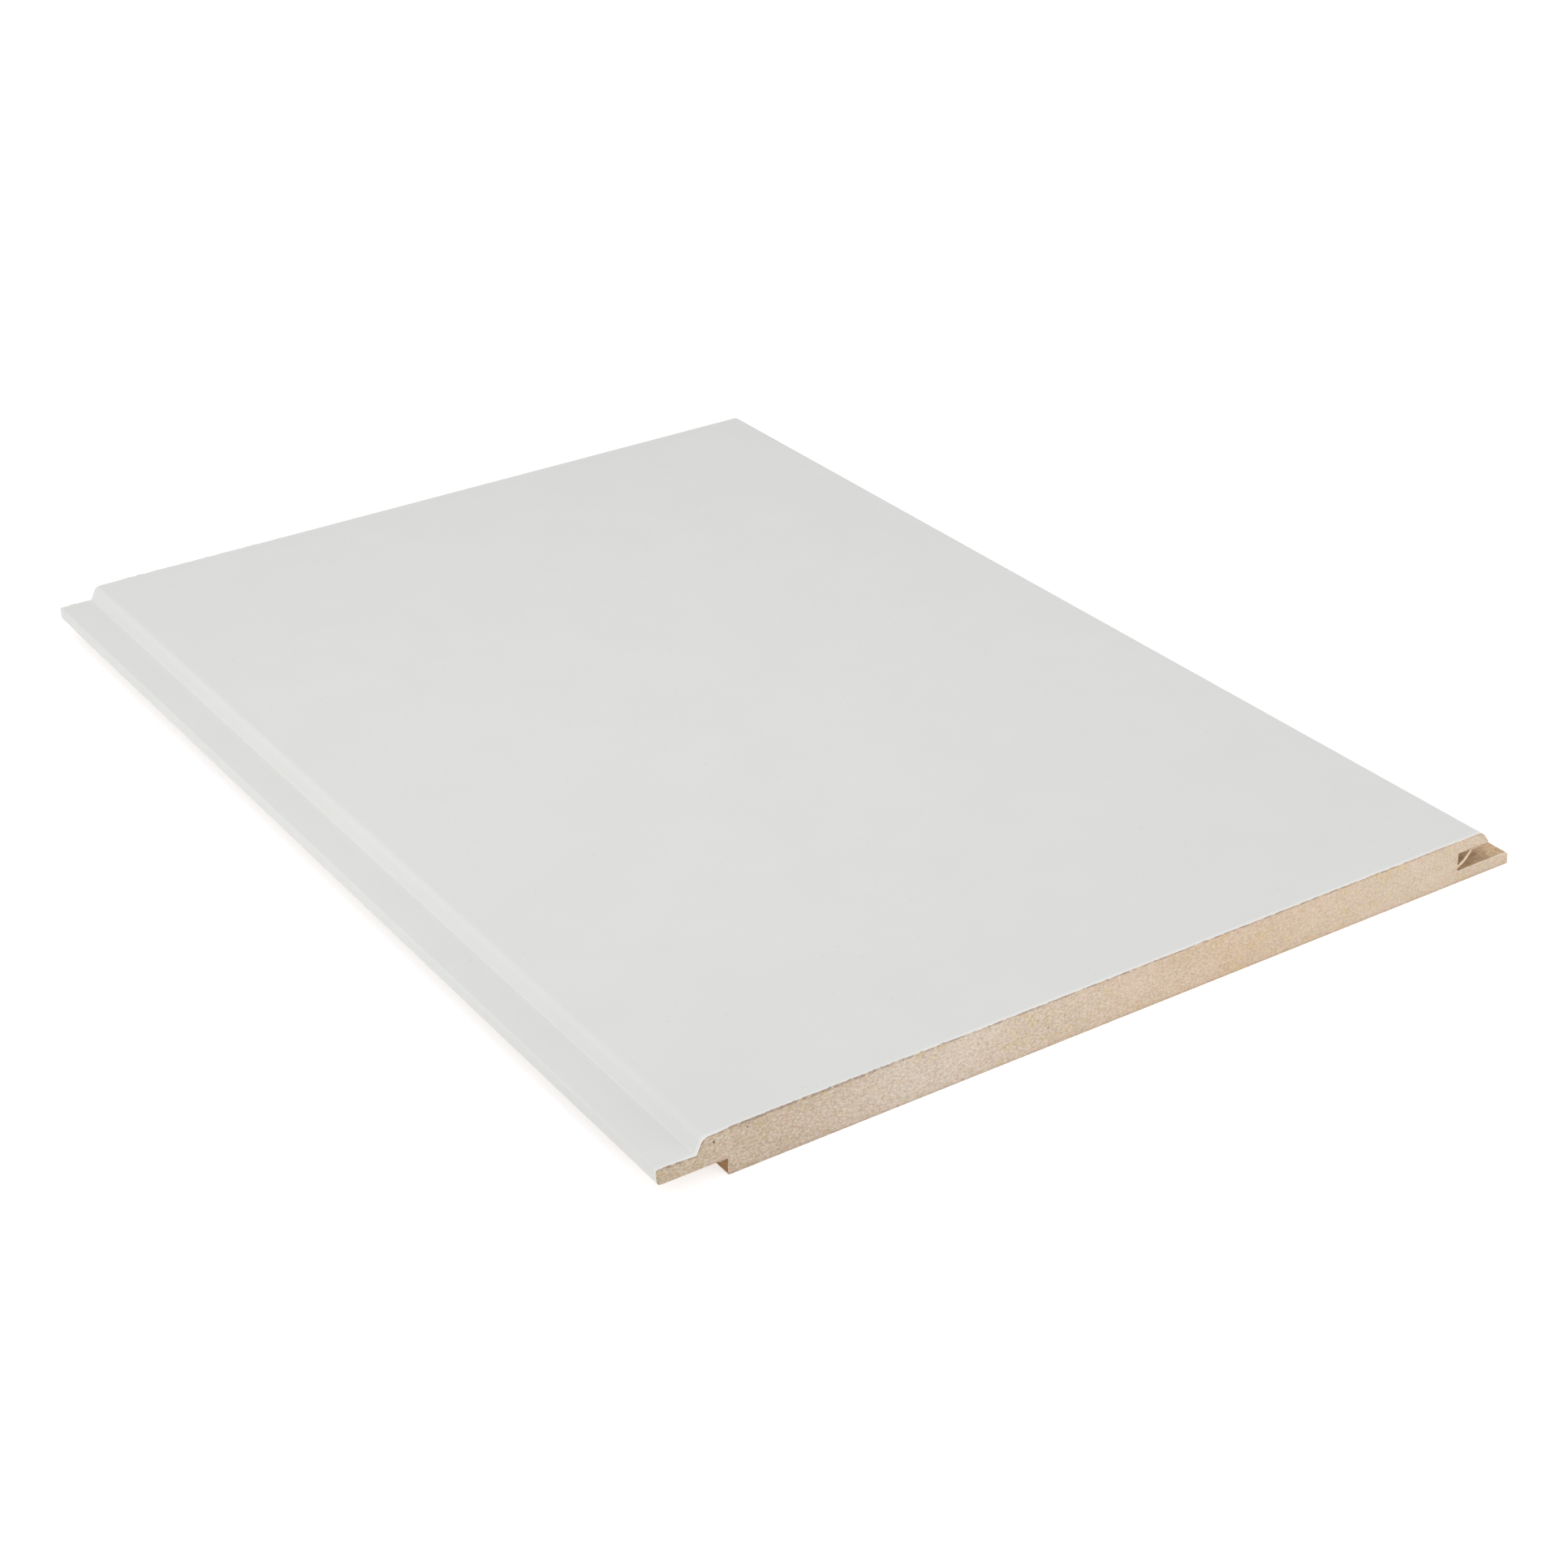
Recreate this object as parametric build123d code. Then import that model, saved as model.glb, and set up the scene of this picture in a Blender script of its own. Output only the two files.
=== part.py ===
"""Short length of tongue-and-groove MDF lining panel, face up, in millimetres.

The whole panel is one piece of board, sawn square at both ends. Every long edge is milled, so
the panel is one cross-section run straight along its length. The section is drawn from the tip
of the tongue, at the left, to the tip of the groove's lower lip, at the right, and from the
back face upwards. +X runs across the panel towards the groove, +Y along it, +Z out of its face.
"""

import os
from math import radians, tan

from build123d import *

# The board, as it is bought and cut.
panel_length = 285.0
panel_width = 203.0  # over all, from the tip of the tongue to the tip of the lower lip
panel_thickness = 10.0

# The groove, open to the right between a short upper lip and a longer lower lip.
lower_lip_thickness = 2.9
groove_height = 4.1
groove_depth = 8.4  # from the tip of the upper lip
lower_lip_overhang = 5.8  # how far the lower lip stands out past the upper lip

# Clearances of a joint between two panels, tongue in groove.
tongue_face_clearance = 0.1  # above the tongue, small so that the faces of the panels lie flush
tongue_back_clearance = 0.7  # below the tongue
tongue_tip_clearance = 0.3  # at the bottom of the groove
back_joint_gap = 0.6  # between the lower lip and the wall of the next panel's rebate

# The ogee that steps down from the face to the tongue: a round shoulder, a steep flank and a
# small cove at its foot.
ogee_angle = 64.0  # degrees, the flank's rise from the face
ogee_shoulder_radius = 1.6
ogee_cove_radius = 0.5

# The upper lip, rounded over to a thin edge that closes on the foot of the next panel's ogee.
upper_lip_angle = 57.0  # degrees, the flank's rise from the face
upper_lip_shoulder_radius = 2.7

# Edges eased by the cutters.
tongue_face_easing = 0.4
tongue_back_easing = 0.9
lower_lip_easing = 1.1
back_arris_easing = 0.3
cutter_corner_radius = 0.2  # left in each inside corner by the tip of the cutter

# Heights above the back face.
groove_floor = lower_lip_thickness
groove_roof = groove_floor + groove_height
tongue_back = groove_floor + tongue_back_clearance
tongue_face = groove_roof - tongue_face_clearance

# Distances from the tip of the tongue. The upper lip closes on the foot of the ogee, so the
# tongue is as long as the groove is deep, less the clearance at its tip.
tongue_length = groove_depth - tongue_tip_clearance
lower_lip_length = groove_depth + lower_lip_overhang
rebate_wall = lower_lip_length - tongue_tip_clearance + back_joint_gap
groove_bottom = panel_width - lower_lip_length
upper_lip_tip = groove_bottom + groove_depth

# Run of each flank, from its foot to where it would meet the face with no rounding.
ogee_run = (panel_thickness - tongue_face) / tan(radians(ogee_angle))
upper_lip_run = (panel_thickness - groove_roof) / tan(radians(upper_lip_angle))


def section_corners():
    """Each corner of the section as (x, z, radius), clockwise from the foot of the rebate."""
    rebate = [
        (rebate_wall, 0, back_arris_easing),
        (rebate_wall, tongue_back, cutter_corner_radius),
    ]
    tongue = [
        (0, tongue_back, tongue_back_easing),
        (0, tongue_face, tongue_face_easing),
    ]
    ogee = [
        (tongue_length, tongue_face, ogee_cove_radius),
        (tongue_length + ogee_run, panel_thickness, ogee_shoulder_radius),
    ]
    upper_lip = [
        (upper_lip_tip - upper_lip_run, panel_thickness, upper_lip_shoulder_radius),
        (upper_lip_tip, groove_roof, 0),
    ]
    groove = [
        (groove_bottom, groove_roof, cutter_corner_radius),
        (groove_bottom, groove_floor, cutter_corner_radius),
    ]
    lower_lip = [
        (panel_width, groove_floor, lower_lip_easing),
        (panel_width, 0, back_arris_easing),
    ]
    return rebate + tongue + ogee + upper_lip + groove + lower_lip


def make_panel():
    """The section run along the panel, half of it to each side of the origin."""
    corners = section_corners()
    points = [(x - panel_width / 2, z) for x, z, _ in corners]
    radii = [radius for _, _, radius in corners]
    with BuildPart() as panel:
        with BuildSketch(Plane.XZ):
            with BuildLine():
                FilletPolyline(points, radius=radii, close=True)
            make_face()
        extrude(amount=panel_length / 2, both=True)
    return panel.part


panel = make_panel()
panel.label = "panel"

os.makedirs("parts", exist_ok=True)
export_step(panel, "parts/panel.step")
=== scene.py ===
"""A short length of tongue-and-groove MDF lining board, factory painted white, lying face up.

The board is one piece: a blank milled along both long edges, painted white on its face and
sawn to length. Everything is in metres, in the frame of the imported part: +X runs across the
board towards the groove, +Y along it, +Z out of its face.
"""

from math import cos, radians, sin, tan
from random import Random

import bpy
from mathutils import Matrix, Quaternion, Vector


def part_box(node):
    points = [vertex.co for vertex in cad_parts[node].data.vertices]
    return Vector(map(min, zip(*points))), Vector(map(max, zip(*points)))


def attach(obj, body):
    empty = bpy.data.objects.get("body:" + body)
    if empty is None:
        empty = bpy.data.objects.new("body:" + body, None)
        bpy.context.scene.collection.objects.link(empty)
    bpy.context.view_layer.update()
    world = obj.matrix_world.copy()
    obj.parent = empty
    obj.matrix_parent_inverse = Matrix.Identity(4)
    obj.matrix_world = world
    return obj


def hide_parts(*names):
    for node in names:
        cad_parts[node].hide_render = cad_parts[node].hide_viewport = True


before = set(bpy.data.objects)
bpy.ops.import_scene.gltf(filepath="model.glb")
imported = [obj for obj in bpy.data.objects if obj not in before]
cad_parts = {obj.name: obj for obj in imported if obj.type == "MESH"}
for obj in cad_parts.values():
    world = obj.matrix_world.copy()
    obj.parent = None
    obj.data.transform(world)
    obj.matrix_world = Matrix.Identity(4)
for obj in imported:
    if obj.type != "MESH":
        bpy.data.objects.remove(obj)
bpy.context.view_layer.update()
mm = 0.001

# The camera stands low off the front left corner of the board, with a long lens, and leans
# a little to one side.
camera_place = Vector((-306.6, -518.2, 313.3)) * mm
camera_aim = Vector((-0.5, -26.4, 0.0)) * mm
camera_lean = radians(-1.93)
camera_lens = 69.19
camera_sensor = 36.0
camera_near = 10 * mm

bpy.ops.object.camera_add(location=camera_place)
camera = bpy.context.object
camera.data.sensor_width = camera_sensor
camera.data.lens = camera_lens
camera.data.clip_start = camera_near
towards_board = (camera_aim - camera_place).to_track_quat("-Z", "Y")
camera.rotation_euler = (towards_board @ Quaternion((0, 0, 1), camera_lean)).to_euler()
bpy.context.scene.camera = camera
bpy.context.scene.view_settings.view_transform = "Standard"


# The studio: white sky all round and a white floor that takes the board's soft shadow. One
# large soft lamp hangs over the middle. Two low ones, which the satin paint doesn't mirror,
# stand beside the tongue, so that the ogee catches the light, and in front of the sawn end.
sky_light = 0.62
floor_size = 6.0
floor_drop = 0.02 * mm
floor_paper = 0.72
floor_glow = 0.68


class Socket:
    """A socket of a node tree. Arithmetic on it adds Math nodes to the tree."""

    def __init__(self, tree, socket):
        self.tree = tree
        self.socket = socket

    def node(self, kind, settings=None, inputs=None, output=0):
        """Adds a node, sets it, gives its sockets their values or links, and returns an output."""
        made = self.tree.nodes.new(kind)
        for name, setting in (settings or {}).items():
            if name == "stops":
                for stop, (place, colour) in zip(ramp_stops(made, len(setting)), setting):
                    stop.position = place
                    stop.color = colour
            else:
                setattr(made, name, setting)
        for name, value in (inputs or {}).items():
            if isinstance(value, Socket):
                self.tree.links.new(value.socket, made.inputs[name])
            else:
                made.inputs[name].default_value = value
        return Socket(self.tree, made.outputs[output] if made.outputs else None)

    def math(self, operation, *values, clamp=False):
        settings = {"operation": operation, "use_clamp": clamp}
        return self.node("ShaderNodeMath", settings, dict(enumerate(values)))

    def __add__(self, other):
        return self.math("ADD", self, other)

    def __sub__(self, other):
        return self.math("SUBTRACT", self, other)

    def __rsub__(self, other):
        return self.math("SUBTRACT", other, self)

    def __mul__(self, other):
        return self.math("MULTIPLY", self, other)

    def __gt__(self, other):
        return self.math("GREATER_THAN", self, other)

    def __lt__(self, other):
        return self.math("LESS_THAN", self, other)

    __radd__ = __add__
    __rmul__ = __mul__


def ramp_stops(ramp, count):
    """The colour ramp's stops, after more are added to make up the count."""
    stops = ramp.color_ramp.elements
    while len(stops) < count:
        stops.new(1.0)
    return stops


def empty_tree(owner):
    """The node tree of a material or world with its nodes cleared, as a socket to build from."""
    owner.use_nodes = True
    owner.node_tree.nodes.clear()
    return Socket(owner.node_tree, None)


def seen_directly(tree):
    """1 for a ray that shows the background itself: straight, mirrored or through glass."""
    rays = [
        tree.node("ShaderNodeLightPath", output=name)
        for name in ("Is Camera Ray", "Is Glossy Ray", "Is Transmission Ray")
    ]
    return tree.math("MAXIMUM", tree.math("MAXIMUM", rays[0], rays[1]), rays[2])


world = bpy.data.worlds.new("studio_sky")
bpy.context.scene.world = world
tree = empty_tree(world)
strength = sky_light + (1.0 - sky_light) * seen_directly(tree)
sky = tree.node("ShaderNodeBackground", inputs={"Color": (1, 1, 1, 1), "Strength": strength})
tree.node("ShaderNodeOutputWorld", inputs={"Surface": sky})

bpy.ops.mesh.primitive_plane_add(size=floor_size, location=(0, 0, -floor_drop))
floor = bpy.context.object
floor.name = "floor"
paper = bpy.data.materials.new("white_paper")
tree = empty_tree(paper)
lit = tree.node("ShaderNodeBsdfDiffuse", inputs={"Color": (floor_paper,) * 3 + (1,)})
glow = tree.node("ShaderNodeEmission", inputs={"Strength": floor_glow * seen_directly(tree)})
both = tree.node("ShaderNodeAddShader", inputs={0: lit, 1: glow})
tree.node("ShaderNodeOutputMaterial", inputs={"Surface": both})
floor.data.materials.append(paper)


def soft_lamp(name, place, aim, width, height, power, mirrored=True):
    """A rectangular area lamp, turned to its aim. No camera sees it, nor gloss if not mirrored."""
    bpy.ops.object.light_add(type="AREA", location=place)
    lamp = bpy.context.object
    lamp.name = name
    lamp.data.shape = "RECTANGLE"
    lamp.data.size = width
    lamp.data.size_y = height
    lamp.data.energy = power
    lamp.rotation_euler = (Vector(aim) - Vector(place)).to_track_quat("-Z", "Y").to_euler()
    lamp.visible_camera = False
    lamp.visible_glossy = mirrored


soft_lamp(
    "top_lamp",
    place=(-0.055, 0.010, 0.50),
    aim=(-0.025, 0.01, 0.0),
    width=0.24,
    height=0.24,
    power=0.700,
)
soft_lamp(
    "tongue_side_lamp",
    place=(-0.50, 0.02, 0.07),
    aim=(-0.10, 0.00, 0.0),
    width=0.30,
    height=0.12,
    power=0.57,
    mirrored=False,
)
soft_lamp(
    "front_lamp",
    place=(0.17, -0.62, 0.09),
    aim=(0.03, -0.14, 0.0),
    width=0.40,
    height=0.16,
    power=1.30,
    mirrored=False,
)


# The board: one piece of 10 mm MDF. Its section is milled into the blank along both edges, a
# tongue under an ogee on the left and a groove between two lips on the right. It is then
# painted from above and sawn to length.
low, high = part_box("panel")
tongue_tip = low.x
lower_lip_tip = high.x
back, face = low.z, high.z
front_end, far_end = low.y, high.y
length = far_end - front_end

groove_floor = back + 2.9 * mm
groove_roof = groove_floor + 4.1 * mm
tongue_back = groove_floor + 0.7 * mm
tongue_face = groove_roof - 0.1 * mm
ogee_foot = tongue_tip + 8.1 * mm
rebate_wall = tongue_tip + 14.5 * mm
groove_bottom = lower_lip_tip - 14.2 * mm
upper_lip_tip = groove_bottom + 8.4 * mm
ogee_slope = radians(64)
upper_lip_slope = radians(57)
ogee_cove = 0.5 * mm
ogee_shoulder = 1.6 * mm
upper_lip_shoulder = 2.7 * mm
tongue_face_easing = 0.4 * mm
tongue_back_easing = 0.9 * mm
lower_lip_easing = 1.1 * mm
back_arris = 0.3 * mm
cutter_corner = 0.2 * mm
ogee_top = ogee_foot + (face - tongue_face) / tan(ogee_slope)
upper_lip_top = upper_lip_tip - (face - groove_roof) / tan(upper_lip_slope)
square = radians(90)
saw_allowance = 1.02
same_place = 0.01 * mm


def pick(kind, test):
    """In edit mode, selects the faces or edges of which every corner passes the test."""
    bpy.ops.object.mode_set(mode="EDIT")
    bpy.ops.mesh.select_mode(type=kind)
    bpy.ops.mesh.select_all(action="DESELECT")
    bpy.ops.object.mode_set(mode="OBJECT")
    mesh = bpy.context.object.data
    for item in mesh.polygons if kind == "FACE" else mesh.edges:
        item.select = all(test(mesh.vertices[corner].co) for corner in item.vertices)
    bpy.ops.object.mode_set(mode="EDIT")


def at(value, place):
    """Whether a coordinate lies at a place."""
    return abs(value - place) < same_place


def split_side(side, heights):
    """Cuts the flat side of the blank at some heights, into strips that run along it."""
    for height in heights:
        pick("FACE", lambda corner: at(corner.x, side))
        bpy.ops.mesh.bisect(plane_co=(0, 0, height), plane_no=(0, 0, 1))


def pull_side(side, bottom, top, to):
    """Extrudes the strips between two heights of a side of the blank outwards."""
    def within(corner):
        return at(corner.x, side) and bottom - same_place < corner.z < top + same_place
    pick("FACE", within)
    bpy.ops.mesh.extrude_region_move(TRANSFORM_OT_translate={"value": (to - side, 0, 0)})


def slide_edge(side, height, to):
    """Moves one long edge sideways, which slopes the faces that meet at it."""
    pick("EDGE", lambda corner: at(corner.x, side) and at(corner.z, height))
    bpy.ops.transform.translate(value=(to - side, 0, 0))


def round_edge(side, height, radius, turn=square, steps=4):
    """Rounds one long edge, at which the outline turns by an angle, to a radius."""
    pick("EDGE", lambda corner: at(corner.x, side) and at(corner.z, height))
    bpy.ops.mesh.bevel(offset=radius * tan(turn / 2), segments=steps, profile=0.5)


bpy.ops.object.select_all(action="DESELECT")
blank_width = groove_bottom - rebate_wall
bpy.ops.mesh.primitive_cube_add(
    size=1.0,
    location=(rebate_wall + blank_width / 2, 0, (back + face) / 2),
    scale=(blank_width, length, face - back),
)
board = bpy.context.object
board.name = "painted_board"
bpy.ops.object.transform_apply()
split_side(rebate_wall, (tongue_back, tongue_face))
pull_side(rebate_wall, tongue_back, face, ogee_foot)
pull_side(ogee_foot, tongue_back, tongue_face, tongue_tip)
slide_edge(ogee_foot, face, ogee_top)
split_side(groove_bottom, (groove_floor, groove_roof))
pull_side(groove_bottom, back, groove_floor, lower_lip_tip)
pull_side(groove_bottom, groove_roof, face, upper_lip_tip)
slide_edge(upper_lip_tip, face, upper_lip_top)
bpy.ops.mesh.select_all(action="SELECT")
bpy.ops.mesh.dissolve_limited(angle_limit=radians(0.5))
round_edge(rebate_wall, back, back_arris)
round_edge(rebate_wall, tongue_back, cutter_corner)
round_edge(tongue_tip, tongue_back, tongue_back_easing, steps=10)
round_edge(tongue_tip, tongue_face, tongue_face_easing, steps=6)
round_edge(ogee_foot, tongue_face, ogee_cove, ogee_slope, 8)
round_edge(ogee_top, face, ogee_shoulder, ogee_slope, 14)
round_edge(upper_lip_top, face, upper_lip_shoulder, upper_lip_slope, 16)
round_edge(groove_bottom, groove_roof, cutter_corner)
round_edge(groove_bottom, groove_floor, cutter_corner)
round_edge(lower_lip_tip, groove_floor, lower_lip_easing, steps=10)
round_edge(lower_lip_tip, back, back_arris)
bpy.ops.mesh.select_all(action="SELECT")
bpy.ops.transform.resize(value=(1, saw_allowance, 1))
bpy.ops.object.mode_set(mode="OBJECT")

# The saw leaves both ends rough: it tears fibres out of the board to about a tenth of a
# millimetre. The blank was left a little long. The rough sheet that the saw cuts along is
# swept over the board's length, and what of the blank lies inside the sweep stays.
saw_cell = 0.28 * mm
saw_margin = 1.0 * mm
saw_depth = 0.11 * mm
tear_size = 0.7 * mm

cut_width = lower_lip_tip - tongue_tip + 2 * saw_margin
cut_height = face - back + 2 * saw_margin
bpy.ops.object.select_all(action="DESELECT")
bpy.ops.mesh.primitive_grid_add(
    size=1.0,
    x_subdivisions=round(cut_width / saw_cell),
    y_subdivisions=round(cut_height / saw_cell),
    location=(0, front_end, (back + face) / 2),
    rotation=(square, 0, 0),
)
saw_cut = bpy.context.object
saw_cut.scale = (cut_width, cut_height, 1)
bpy.ops.object.transform_apply()
tear = bpy.data.textures.new("saw_tear", "CLOUDS")
tear.noise_scale = tear_size
tear.noise_depth = 2
rough = saw_cut.modifiers.new("tear", "DISPLACE")
rough.texture = tear
rough.direction = "Y"
rough.mid_level = 0.0
rough.strength = saw_depth
bpy.ops.object.modifier_apply(modifier="tear")
bpy.ops.object.mode_set(mode="EDIT")
bpy.ops.mesh.select_all(action="SELECT")
sweep = {"value": (0, length - saw_depth, 0)}
bpy.ops.mesh.extrude_region_move(TRANSFORM_OT_translate=sweep)
bpy.ops.mesh.select_all(action="SELECT")
bpy.ops.mesh.normals_make_consistent(inside=False)
bpy.ops.object.mode_set(mode="OBJECT")

bpy.ops.object.select_all(action="DESELECT")
bpy.context.view_layer.objects.active = board
board.select_set(True)
trim = board.modifiers.new("sawn", "BOOLEAN")
trim.operation = "INTERSECT"
trim.solver = "EXACT"
trim.object = saw_cut
bpy.ops.object.modifier_apply(modifier="sawn")
bpy.data.objects.remove(saw_cut)

finish = bpy.data.materials.new("painted_mdf")
tree = empty_tree(finish)
place = tree.node("ShaderNodeTexCoord", output="Object")
in_mm = tree.node("ShaderNodeVectorMath", {"operation": "SCALE"}, {0: place, "Scale": 1 / mm})
across = tree.node("ShaderNodeSeparateXYZ", inputs={0: in_mm}, output="X")
along = tree.node("ShaderNodeSeparateXYZ", inputs={0: in_mm}, output="Y")
height = tree.node("ShaderNodeSeparateXYZ", inputs={0: in_mm}, output="Z")


def stretch(where, x, y, z):
    """The place scaled along each axis. A small number draws a pattern out along its axis."""
    return where.node("ShaderNodeVectorMath", {"operation": "MULTIPLY"}, {0: where, 1: (x, y, z)})


def clouds(where, size, detail=2.0):
    """Cloudy noise about 0, in clumps of a size in mm."""
    inputs = {"Vector": where, "Scale": 1 / size, "Detail": detail}
    return where.node("ShaderNodeTexNoise", inputs=inputs) - 0.5


def grains(where, size, channel):
    """Grains of a size in mm with ragged edges, each of its own level about 0."""
    wander = where.node("ShaderNodeTexNoise", inputs={"Vector": where, "Scale": 2 / size}, output=1)
    push = {0: wander, 1: (0.5 * size,) * 3, 2: where}
    ragged = where.node("ShaderNodeVectorMath", {"operation": "MULTIPLY_ADD"}, push)
    cells = {"Vector": ragged, "Scale": 1 / size}
    level = where.node("ShaderNodeTexVoronoi", inputs=cells, output="Color")
    return where.node("ShaderNodeSeparateColor", inputs={0: level}, output=channel) - 0.5


def dots(where, spacing, radius, share):
    """1 in small round dots of a radius in mm, in a share of the cells of a spacing."""
    cells = {"Vector": where, "Scale": 1 / spacing}
    gap = where.node("ShaderNodeTexVoronoi", inputs=cells, output="Distance")
    level = where.node("ShaderNodeTexVoronoi", inputs=cells, output="Color")
    chance = where.node("ShaderNodeSeparateColor", inputs={0: level})
    return rise(gap * spacing, radius, 0.6 * radius) * (chance < share)


def rise(value, low, high):
    """0 at the low value and 1 at the high value, with a smooth rise between them."""
    limits = {"Value": value, "From Min": low, "From Max": high}
    return value.node("ShaderNodeMapRange", {"interpolation_type": "SMOOTHSTEP"}, limits)


def blend(factor, first, second):
    """The first colour where the factor is 0 and the second where it is 1."""
    colours = {0: factor, 6: first, 7: second}
    return factor.node("ShaderNodeMix", {"data_type": "RGBA"}, colours, 2)


def stain(factor, colour, tint):
    """The colour where the factor is 0, and the colour times the tint where it is 1."""
    kind = {"data_type": "RGBA", "blend_type": "MULTIPLY"}
    return factor.node("ShaderNodeMix", kind, {0: factor, 6: colour, 7: tint}, 2)


def into_slope(side, bottom, slope, way):
    """Depth in mm below a flank that rises from its foot to the right, way 1, or left, way -1."""
    return (way * (across - side / mm)) * sin(slope) - (height - bottom / mm) * cos(slope)


def rounding(radius, turn):
    """The width in mm of a smooth minimum that stands for a corner of a radius in metres."""
    return 6 * radius / mm * (1 - cos(turn / 2))


# How deep a point lies in mm under the outline that was painted: the face, the ogee, the
# tongue and the outside of the upper lip. The film wraps raggedly under the tongue's tip.
below_face = face / mm - height
in_ogee = into_slope(ogee_foot, tongue_face, ogee_slope, 1)
depth = tree.math("SMOOTH_MIN", below_face, in_ogee, rounding(ogee_shoulder, ogee_slope))
depth = tree.math("SMOOTH_MAX", depth, tongue_face / mm - height, rounding(ogee_cove, ogee_slope))
depth = tree.math("SMOOTH_MIN", depth, across - tongue_tip / mm, rounding(tongue_face_easing, square))
in_upper_lip = into_slope(upper_lip_tip, groove_roof, upper_lip_slope, -1)
depth = tree.math("SMOOTH_MIN", depth, in_upper_lip, rounding(upper_lip_shoulder, upper_lip_slope))
tear_noise = clouds(in_mm, 0.45, 3.0)
past_wrap = across - tongue_tip / mm - 1.3 + 2.0 * tear_noise
under_tip = tree.math("SMOOTH_MAX", height - tongue_back / mm, past_wrap, 0.4)
film_depth = tree.math("SMOOTH_MIN", depth, under_tip, rounding(tongue_back_easing, square))

# The surfaces of the board. The saw left a rough end and chipped the paint's edge along it,
# deepest on the left, though hardly on the ogee. The sander left a smooth back, and the cutters
# left brown flanks, painted darker in the rebate as its shade. Depths and places are in mm.
film_thickness = 0.24
facing = tree.node("ShaderNodeNewGeometry", output="True Normal")
facing_along = tree.node("ShaderNodeSeparateXYZ", inputs={0: facing}, output="Y")
sawn = tree.math("ABSOLUTE", facing_along) > 0.6
end_gap = length / 2 / mm - tree.math("ABSOLUTE", along)
sanded = height < 0.03
nicks = 0.45 * clouds(in_mm, 1.3, 2.0) + 0.25 * tear_noise
off_ogee = rise(across, ogee_top / mm + 1.0, ogee_top / mm + 9.0)
off_ogee = off_ogee + 0.55 * rise(across, ogee_foot / mm - 0.2, ogee_foot / mm - 3.5)
chipped = off_ogee * rise(end_gap + nicks, 0.34, 0.14)
chip_depth = 0.42 - 0.27 * rise(across, -90.0, -20.0)
paint_film = film_thickness + 0.5 * nicks - chip_depth * chipped
above_groove = (height > groove_roof / mm) + (across < 0)
painted = (film_depth < paint_film) * (above_groove > 0)

# Satin white paint, with the faint skin of a sprayed coat and a few specks of dust under it.
# Along the saw cut it is whiter than elsewhere: partly the cut film's own white, partly a painted
# highlight along the arris.
paint_shade = (0.729, 0.733, 0.714, 1)
paint_light = (0.739, 0.743, 0.724, 1)
paint_dust = (0.58, 0.58, 0.55, 1)
paint_cut_and_highlight = (0.84, 0.84, 0.82, 1)
satin = 0.44
skin = clouds(in_mm, 1.7, 2.0)
paint = blend(rise(clouds(in_mm, 16.0), -0.2, 0.2), paint_shade, paint_light)
paint = blend(0.7 * dots(in_mm, 4.0, 0.22, 0.8), paint, paint_dust)
# The band along the saw cut is partly cut film and partly a painted highlight on the arris.
paint = blend(0.6 * rise(end_gap, 0.90, 0.45) + 0.4 * sawn, paint, paint_cut_and_highlight)
paint_roughness = satin + 0.25 * skin

# MDF: pale flakes and brown specks of wood fibre, pressed flat, so that they are drawn out a
# little in the plane of the board. The sawn ends shift from tan at the tongue through a pale
# grey to a warmer tan, and their grain is coarsest at the tongue.
red_tint = (1.02, 0.95, 0.94, 1)
yellow_tint = (1.03, 0.99, 0.84, 1)
dark_fibre = (0.22, 0.13, 0.06, 1)
pale_fibre = (0.92, 0.87, 0.80, 1)
dark_chip = (0.20, 0.11, 0.06, 1)
pale_chip = (0.93, 0.87, 0.79, 1)
bottom_edge_dark = (0.32, 0.22, 0.15, 1)
crushed_lip_and_highlight = (0.90, 0.80, 0.68, 1)
flat = stretch(in_mm, 0.8, 0.8, 1.25)
flakes = grains(flat, 0.42, 0)
specks = clouds(flat, 0.30, 1.0)
bundles = clouds(stretch(in_mm, 0.45, 0.45, 1.0), 0.7)
patches = clouds(in_mm, 9.0, 2.0)
clumps = clouds(flat, 0.55, 1.0)
tints = 1.3 * clouds(flat, 0.9, 1.0) + 1.5 * clouds(in_mm, 2.0, 1.0) + patches
coarseness = 1.28 - 0.50 * rise(across, -90.0, 90.0)
tone = coarseness * (0.12 * flakes + 0.65 * specks + 0.90 * clumps + 0.25 * bundles)
tone = tone + 0.25 * patches

# How far across the board, as a share of its width, and the colour of the sawn fibre there.
shades = [
    (0.04, (0.556, 0.450, 0.328, 1)),
    (0.13, (0.570, 0.458, 0.353, 1)),
    (0.27, (0.646, 0.552, 0.456, 1)),
    (0.63, (0.620, 0.478, 0.352, 1)),
    (0.84, (0.622, 0.508, 0.397, 1)),
    (0.94, (0.606, 0.491, 0.378, 1)),
]
reach = across * (mm / (high.x - low.x)) + 0.5
fibre = tree.node("ShaderNodeValToRGB", {"stops": shades}, {0: reach})
fibre = stain(rise(tints, 0.0, 0.55), fibre, red_tint)
fibre = stain(rise(tints, 0.0, -0.55), fibre, yellow_tint)
fibre = blend(tree.math("MULTIPLY", tone, -1.0, clamp=True), fibre, dark_fibre)
fibre = blend(tree.math("MULTIPLY", tone, 1.0, clamp=True), fibre, pale_fibre)
chips = clouds(flat, 0.34, 1.0)
fibre = blend(0.35 * rise(chips, 0.17, 0.30), fibre, pale_chip)
fibre = blend(0.50 * rise(chips, -0.19, -0.30), fibre, dark_chip)
# The sawn end is darker towards its bottom edge.
fibre = blend(0.22 * rise(height, 0.80, 0.15), fibre, bottom_edge_dark)
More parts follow.
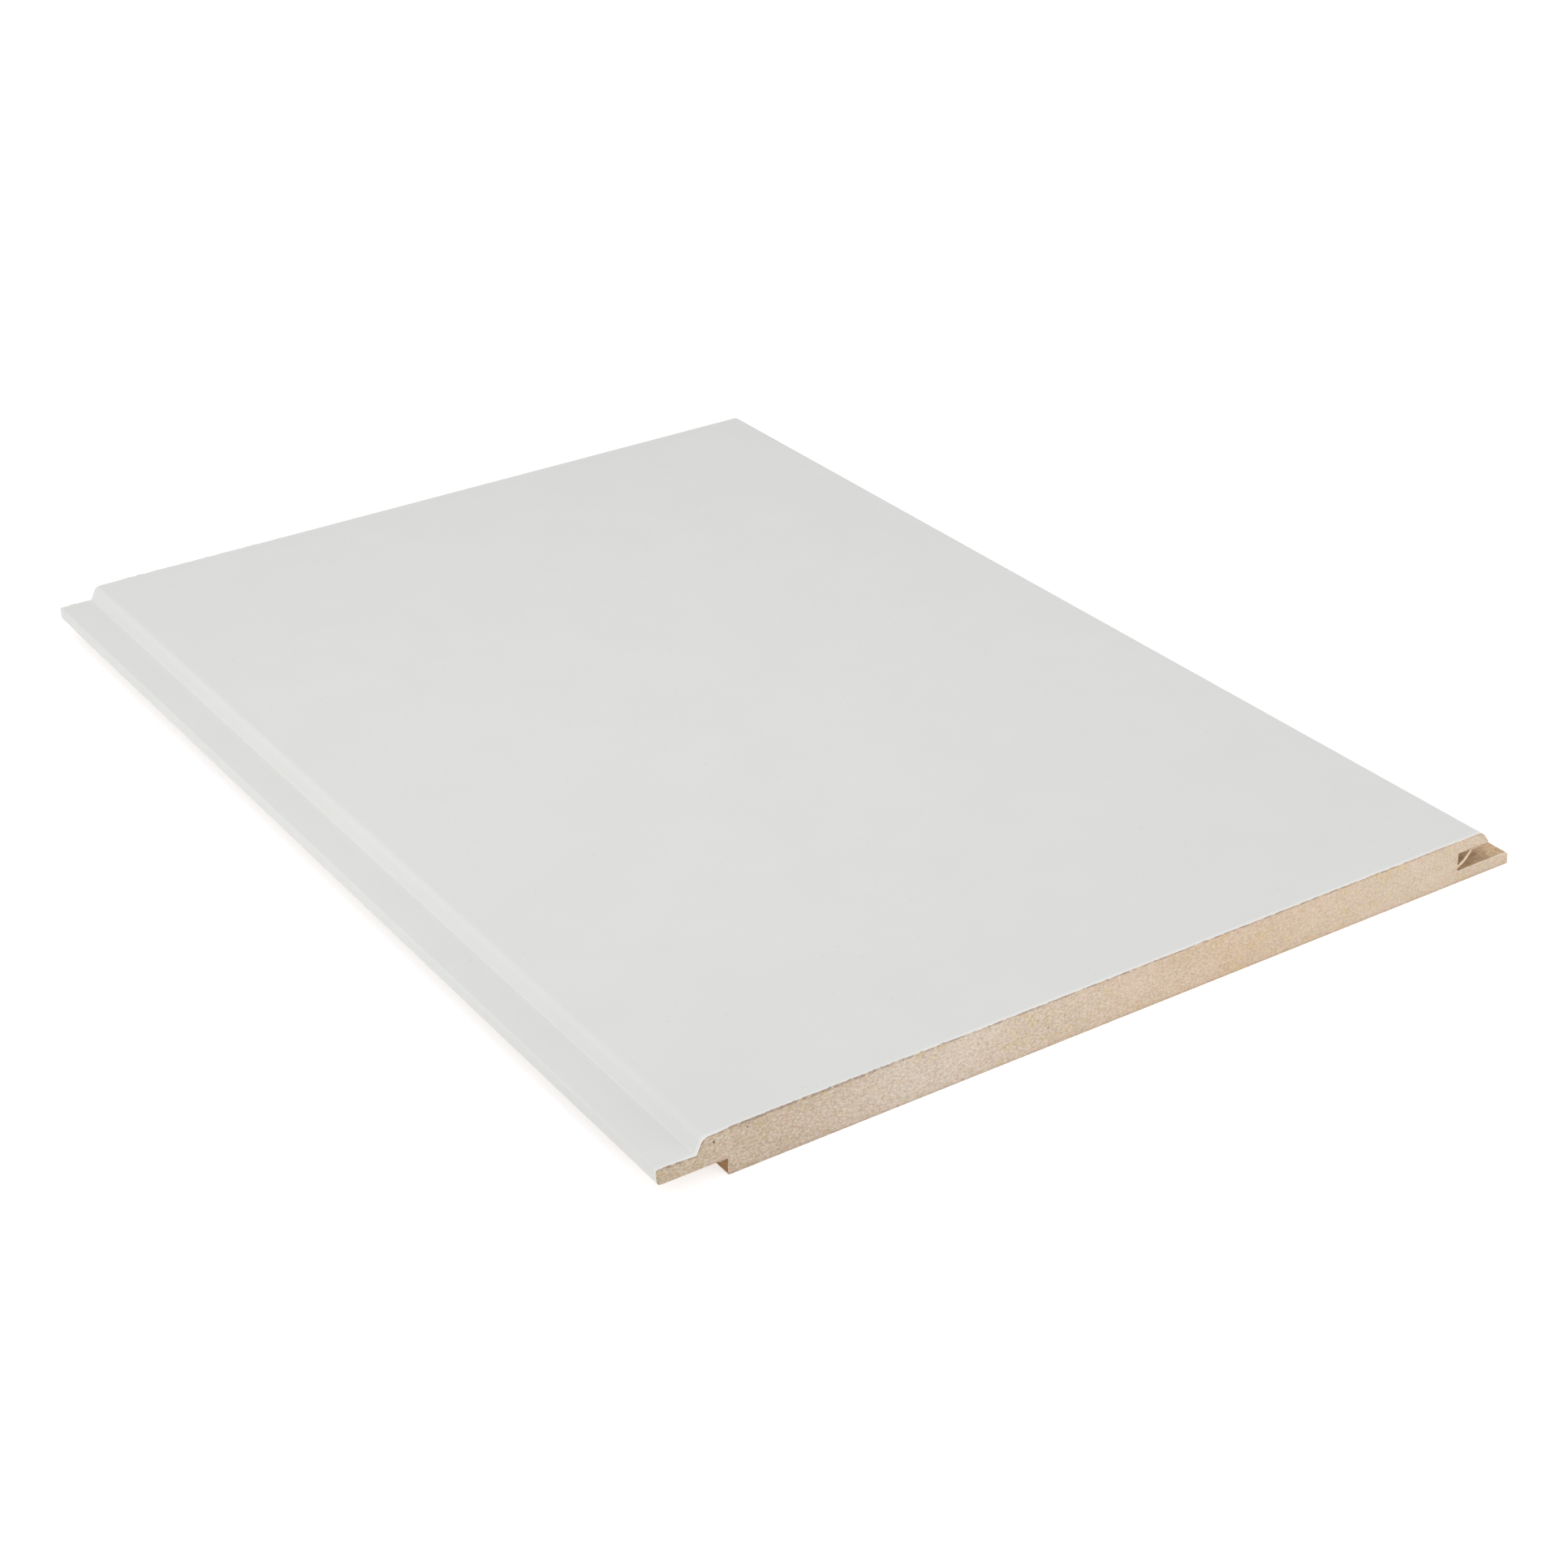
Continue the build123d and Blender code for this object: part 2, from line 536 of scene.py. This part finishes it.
# Near the groove the lips' edges at the saw cut are lighter: partly crushed pale fibre, partly a
# painted highlight along the arrises.
by_groove = (across > groove_bottom / mm) * rise(tear_noise, -0.15, 0.05)
crushed_and_highlight_band = rise(height - groove_roof / mm, 0.32, 0.12) * (height > groove_roof / mm)
crushed_and_highlight_band = crushed_and_highlight_band + rise(groove_floor / mm - height, 0.40, 0.10) * (height < groove_floor / mm)
fibre = blend(0.36 * by_groove * crushed_and_highlight_band, fibre, crushed_lip_and_highlight)


def pinhole(from_tip, up, radius):
    """1 inside a small hole in the front end, placed in mm from the tongue's tip and the back."""
    aside = across - (tongue_tip / mm + from_tip)
    above = height - up
    away = tree.math("SQRT", aside * aside + above * above)
    return rise(away + 0.15 * specks, radius, 0.6 * radius) * (along < 0)


# The holes are painted dark: the brown of the fibre and painted shade inside each hole.
hole_brown_and_shade = (0.12, 0.05, 0.03, 1)
pinholes = pinhole(11.9, 8.1, 0.31) + pinhole(18.8, 8.6, 0.24)
pinholes = pinholes + 0.5 * pinhole(85.0, 4.3, 0.28) + 0.4 * pinhole(155.3, 4.2, 0.28)
fibre = blend(0.85 * pinholes, fibre, hole_brown_and_shade)

# The cutters left ribs along the board. The rebate on the tongue side is painted darker and
# browner than the groove side: painted shade and brown bounce light under the tongue.
# Where the paint chipped off, torn fibre shows, and a dark ragged line just under the paint's
# edge is painted shade.
milled_dark = (0.49, 0.325, 0.185, 1)
milled_light = (0.73, 0.545, 0.355, 1)
rebate_shade_dark = (0.44, 0.245, 0.112, 1)
rebate_shade_light = (0.63, 0.405, 0.215, 1)
sanded_dark = (0.48, 0.35, 0.215, 1)
sanded_light = (0.60, 0.46, 0.31, 1)
shade_under_film = (0.24, 0.165, 0.13, 1)
ribbing = clouds(stretch(in_mm, 1.0, 0.05, 1.0), 0.6)
mottle = clouds(in_mm, 1.4, 3.0)
browns = 0.3 * ribbing + 0.9 * mottle + 0.6 * specks + 0.15 * flakes
milled = blend(rise(browns, -0.28, 0.28), milled_dark, milled_light)
rebate_shaded = blend(rise(browns, -0.28, 0.28), rebate_shade_dark, rebate_shade_light)
# The rebate under the tongue takes the painted shade colours.
milled = blend(across < 0, milled, rebate_shaded)
underside = blend(rise(0.6 * ribbing + specks, -0.3, 0.3), sanded_dark, sanded_light)
torn = tree.math("MAXIMUM", sawn, (depth < 1.0) * (above_groove > 0))
bare = blend(torn, blend(sanded, milled, underside), fibre)
# Painted shade: a dark ragged line just under the paint's edge near both ends.
shade_under_film_mask = rise(depth, 0.65, 0.28) * (above_groove > 0) * rise(end_gap, 1.0, 0.8)
shade_under_film_mask = shade_under_film_mask * rise(clouds(in_mm, 1.0, 3.0) + 0.4 * specks, -0.16, 0.08)
shade_under_film_mask = shade_under_film_mask * (0.62 - 0.34 * rise(across, 70.0, 91.0))
bare = blend(shade_under_film_mask, bare, shade_under_film)

bare_roughness = 0.92
grain_height = 0.04 * mm
colour = blend(painted, bare, paint)
roughness = bare_roughness - painted * (bare_roughness - paint_roughness)
fibre_relief = 0.5 * (specks + flakes) + 0.5 * ribbing * (1 - sawn) - 0.8 * pinholes * sawn
relief = painted * (0.25 * skin) + (1 - painted) * fibre_relief
bump = tree.node(
    "ShaderNodeBump",
    inputs={"Height": relief, "Distance": grain_height, "Strength": 0.5},
)
surface = tree.node(
    "ShaderNodeBsdfPrincipled",
    inputs={"Base Color": colour, "Roughness": roughness, "Normal": bump},
)
tree.node("ShaderNodeOutputMaterial", inputs={"Surface": surface})
board.data.materials.clear()
board.data.materials.append(finish)

# Fibres of the same MDF, which the cutters and the saw left hanging. One long sliver still
# bridges the inner corner of the groove at the front end, and short fuzz grows along the
# upper lip and in the corners of the rebate.
sliver_length = 5.0 * mm
sliver_width = 0.70 * mm
sliver_thickness = 0.36 * mm
sliver_middle = (groove_bottom + 1.94 * mm, front_end + 0.26 * mm, back + 4.81 * mm)
sliver_lean = radians(39)
sliver_bow = radians(38)
sliver_raggedness = 0.12 * mm
fuzz_length = 0.6 * mm
fuzz_radius = 0.075 * mm
fuzz_bow = radians(35)
fuzz_raggedness = 0.04 * mm


def cut_rings(reach, count):
    """Cuts the piece across at even steps along X, so that it can bend."""
    for step in range(1, count):
        bpy.ops.mesh.select_all(action="SELECT")
        bpy.ops.mesh.bisect(plane_co=(reach * (step / count - 0.5), 0, 0), plane_no=(1, 0, 0))


def curl(piece, turn, raggedness):
    """Bends a piece sideways at its ends, towards +Y, and roughens it."""
    bow = piece.modifiers.new("bow", "SIMPLE_DEFORM")
    bow.deform_method = "BEND"
    bow.deform_axis = "Z"
    bow.angle = turn
    bpy.ops.object.modifier_apply(modifier="bow")
    frayed = piece.modifiers.new("frayed", "DISPLACE")
    frayed.texture = tear
    frayed.mid_level = 0.5
    frayed.strength = raggedness
    bpy.ops.object.modifier_apply(modifier="frayed")


bpy.ops.object.select_all(action="DESELECT")
bpy.ops.mesh.primitive_cylinder_add(vertices=10, radius=0.5, depth=1.0, rotation=(0, square, 0))
sliver = bpy.context.object
sliver.name = "groove_sliver"
bpy.ops.object.transform_apply()
sliver.scale = (sliver_length, sliver_width, sliver_thickness)
bpy.ops.object.transform_apply()
bpy.ops.object.mode_set(mode="EDIT")
cut_rings(sliver_length, 16)
bpy.ops.object.mode_set(mode="OBJECT")
curl(sliver, sliver_bow, sliver_raggedness)
sliver.rotation_euler = (square, -sliver_lean, 0)
sliver.location = sliver_middle
bpy.ops.object.transform_apply()

bpy.ops.object.select_all(action="DESELECT")
bpy.ops.mesh.primitive_cone_add(
    vertices=5,
    radius1=fuzz_radius,
    radius2=0.2 * fuzz_radius,
    depth=fuzz_length,
    rotation=(0, square, 0),
)
fuzz = bpy.context.object
fuzz.name = "fuzz"
bpy.ops.object.transform_apply()
bpy.ops.object.mode_set(mode="EDIT")
cut_rings(fuzz_length, 4)
bpy.ops.object.mode_set(mode="OBJECT")
curl(fuzz, fuzz_bow, fuzz_raggedness)

# Where the fuzz grows: a span of X and Y, a height, how many, and how long beside a full one.
# The last row is a ragged flap that hangs beside the sliver.
end_reach = 0.22 * mm
front_rim = (front_end, front_end + end_reach)
far_rim = (far_end - end_reach, far_end)
lip_arris = upper_lip_tip - 0.1 * mm
under_lip = (groove_bottom + 1.7 * mm, lip_arris)
lip_edge = (lip_arris - 0.2 * mm, lip_arris)
rebate_corner = (rebate_wall - 1.5 * mm, rebate_wall - 0.1 * mm)
by_sliver = (groove_bottom + 3.1 * mm, groove_bottom + 5.6 * mm)
tufts = [
    (under_lip, front_rim, groove_roof, 44, 0.9),
    (under_lip, far_rim, groove_roof, 44, 0.9),
    (lip_edge, (front_end, far_end), groove_roof, 90, 0.7),
    (rebate_corner, front_rim, tongue_back, 4, 0.8),
    (rebate_corner, far_rim, tongue_back, 4, 0.8),
    (by_sliver, front_rim, groove_roof - 0.08 * mm, 60, 0.7),
]
full_turn = 6.28
chance = Random(7)
fibres = [sliver]
for x_span, y_span, root_height, count, share in tufts:
    for _ in range(count):
        bpy.ops.object.select_all(action="DESELECT")
        fuzz.select_set(True)
        bpy.context.view_layer.objects.active = fuzz
        bpy.ops.object.duplicate()
        one = bpy.context.object
        size = share * chance.uniform(0.4, 1.1)
        one.scale = (size, chance.uniform(0.8, 1.6), chance.uniform(0.8, 1.6))
        one.rotation_euler = (
            chance.uniform(0, full_turn),
            chance.uniform(0.1, 1.4),
            chance.uniform(0, full_turn),
        )
        hang = chance.uniform(0.0, 0.3) * size * fuzz_length
        one.location = (chance.uniform(*x_span), chance.uniform(*y_span), root_height - hang)
        bpy.ops.object.transform_apply()
        fibres.append(one)
bpy.data.objects.remove(fuzz)

loose = bpy.data.materials.new("torn_fibre")
tree = empty_tree(loose)
place = tree.node("ShaderNodeTexCoord", output="Object")
in_mm = tree.node("ShaderNodeVectorMath", {"operation": "SCALE"}, {0: place, "Scale": 1 / mm})
streaks = rise(clouds(in_mm, 0.35), -0.2, 0.2)
strand_dark = (0.58, 0.46, 0.31, 1)
strand_light = (0.76, 0.64, 0.47, 1)
cream = blend(streaks, strand_dark, strand_light)
strand = tree.node("ShaderNodeBsdfPrincipled", inputs={"Base Color": cream, "Roughness": 0.9})
tree.node("ShaderNodeOutputMaterial", inputs={"Surface": strand})

bpy.ops.object.select_all(action="DESELECT")
for one in fibres:
    one.data.materials.clear()
    one.data.materials.append(loose)
    one.select_set(True)
board.select_set(True)
bpy.context.view_layer.objects.active = board
bpy.ops.object.join()
crease = radians(30)
bpy.ops.object.shade_smooth_by_angle(angle=crease)
weighted = board.modifiers.new("weighted", "WEIGHTED_NORMAL")
weighted.keep_sharp = True
bpy.ops.object.modifier_apply(modifier="weighted")
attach(board, "root")
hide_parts("panel")
